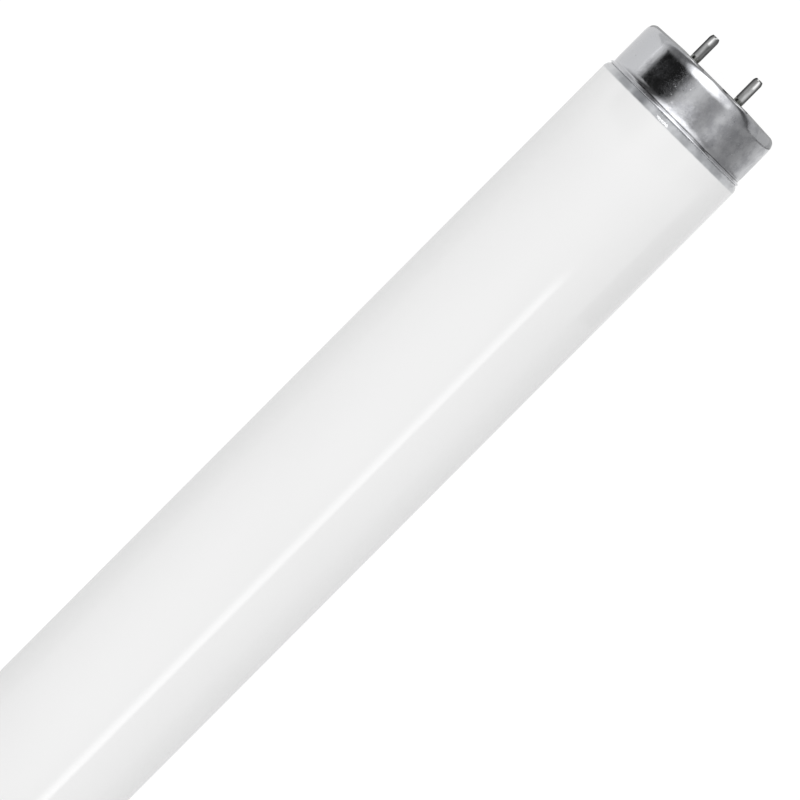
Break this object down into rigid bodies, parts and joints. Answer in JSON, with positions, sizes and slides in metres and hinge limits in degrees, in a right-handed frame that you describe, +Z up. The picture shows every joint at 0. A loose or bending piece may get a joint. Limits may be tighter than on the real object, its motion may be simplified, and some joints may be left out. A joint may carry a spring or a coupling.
{
  "type": "fluorescent tube",
  "caption": "Straight fluorescent lamp: a white coated glass tube, 38 mm across, with a drawn metal cap and contact pins on each end.",
  "frame": {"origin": "centre of the lamp's box, on its axis, halfway between the two caps", "axes": "+X along the lamp towards the cap that the picture shows, +Y across the lamp through the pins of both caps, +Z up, square to the plane of the pins"},
  "size_m": [0.603, 0.038, 0.0378],
  "materials": {
    "coated_glass": "clear soda-lime glass, glossy outside, opaque white from the powder coating inside",
    "cap_aluminium": "drawn aluminium, bright with a soft haze and scuffs",
    "insulator": "moulded phenolic, dark brown, satin",
    "pin_metal": "nickel-plated brass, satin",
    "lead_wire": "drawn nickel-iron wire",
    "base_cement": "baked capping cement, matt and grainy"
  },
  "bodies": {
    "root": {"glass_tube": "coated_glass", "end_cap_right": "cap_aluminium", "end_cap_left": "cap_aluminium", "base_insulator_right": "insulator", "base_insulator_left": "insulator", "base_cement_right": "base_cement", "base_cement_left": "base_cement", "contact_pin_right_front": "pin_metal", "contact_pin_right_rear": "pin_metal", "contact_pin_left_front": "pin_metal", "contact_pin_left_rear": "pin_metal", "lead_wire_right_front": "lead_wire", "lead_wire_right_rear": "lead_wire", "lead_wire_left_front": "lead_wire", "lead_wire_left_rear": "lead_wire"}
  },
  "joints": []
}
